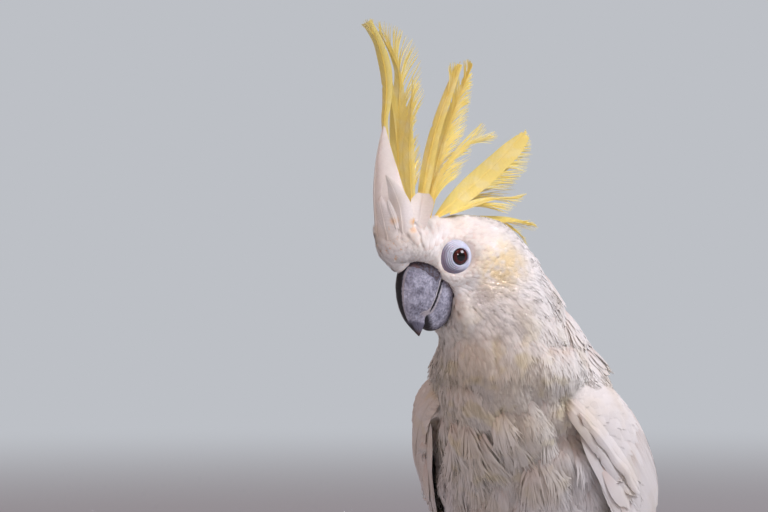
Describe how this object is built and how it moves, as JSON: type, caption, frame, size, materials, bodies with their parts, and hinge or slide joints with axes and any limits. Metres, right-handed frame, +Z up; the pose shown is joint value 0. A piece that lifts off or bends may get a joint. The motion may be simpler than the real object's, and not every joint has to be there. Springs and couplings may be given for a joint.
{
  "type": "sulphur-crested cockatoo",
  "caption": "Life-size white cockatoo standing with raised lemon-yellow crest, head turned aside, dark hooked bill and folded wings.",
  "frame": {"origin": "middle of the footprint of the whole bird, on the floor that it stands on", "axes": "+Z up; -Y is the way the breast faces; +X is the bird's left side"},
  "size_m": [0.1412, 0.366, 0.3777],
  "materials": {
    "plumage": "soft matt body feathers, warm white with a faint yellow tint in places",
    "flight_feather": "smooth white wing and tail vanes with a low sheen",
    "crest_feather": "lemon yellow feathers with loose barbs",
    "horn": "slate grey horn with a powdery bloom and worn edges",
    "claw": "dark horn with a low gloss",
    "scaly_skin": "dark grey scaly skin with paler creases",
    "bare_skin": "pale bluish white wrinkled bare skin",
    "eye": "wet dark red-brown iris with a black pupil"
  },
  "bodies": {
    "root": {"bill_upper": "horn", "bill_lower": "horn", "eye_left": "eye", "eye_right": "eye", "eye_ring_left": "bare_skin", "eye_ring_right": "bare_skin", "head": "plumage", "neck": "plumage", "trunk": "plumage", "tail": "flight_feather", "crest_white_front": "plumage", "crest_white_side": "plumage", "crest_front_long": "crest_feather", "crest_front_second": "crest_feather", "crest_front_third": "crest_feather", "crest_middle_long": "crest_feather", "crest_middle_second": "crest_feather", "crest_middle_third": "crest_feather", "crest_back_long": "crest_feather", "crest_back_second": "crest_feather", "crest_back_third": "crest_feather", "crest_nape_long": "crest_feather", "crest_nape_second": "crest_feather", "wing_left": "flight_feather", "primaries_left": "flight_feather", "thigh_left": "plumage", "shank_left": "scaly_skin", "toe_left_front_inner": "scaly_skin", "claw_left_front_inner": "claw", "toe_left_front_outer": "scaly_skin", "claw_left_front_outer": "claw", "toe_left_back_outer": "scaly_skin", "claw_left_back_outer": "claw", "toe_left_back_inner": "scaly_skin", "claw_left_back_inner": "claw", "wing_right": "flight_feather", "primaries_right": "flight_feather", "thigh_right": "plumage", "shank_right": "scaly_skin", "toe_right_front_inner": "scaly_skin", "claw_right_front_inner": "claw", "toe_right_front_outer": "scaly_skin", "claw_right_front_outer": "claw", "toe_right_back_outer": "scaly_skin", "claw_right_back_outer": "claw", "toe_right_back_inner": "scaly_skin", "claw_right_back_inner": "claw"}
  },
  "joints": []
}
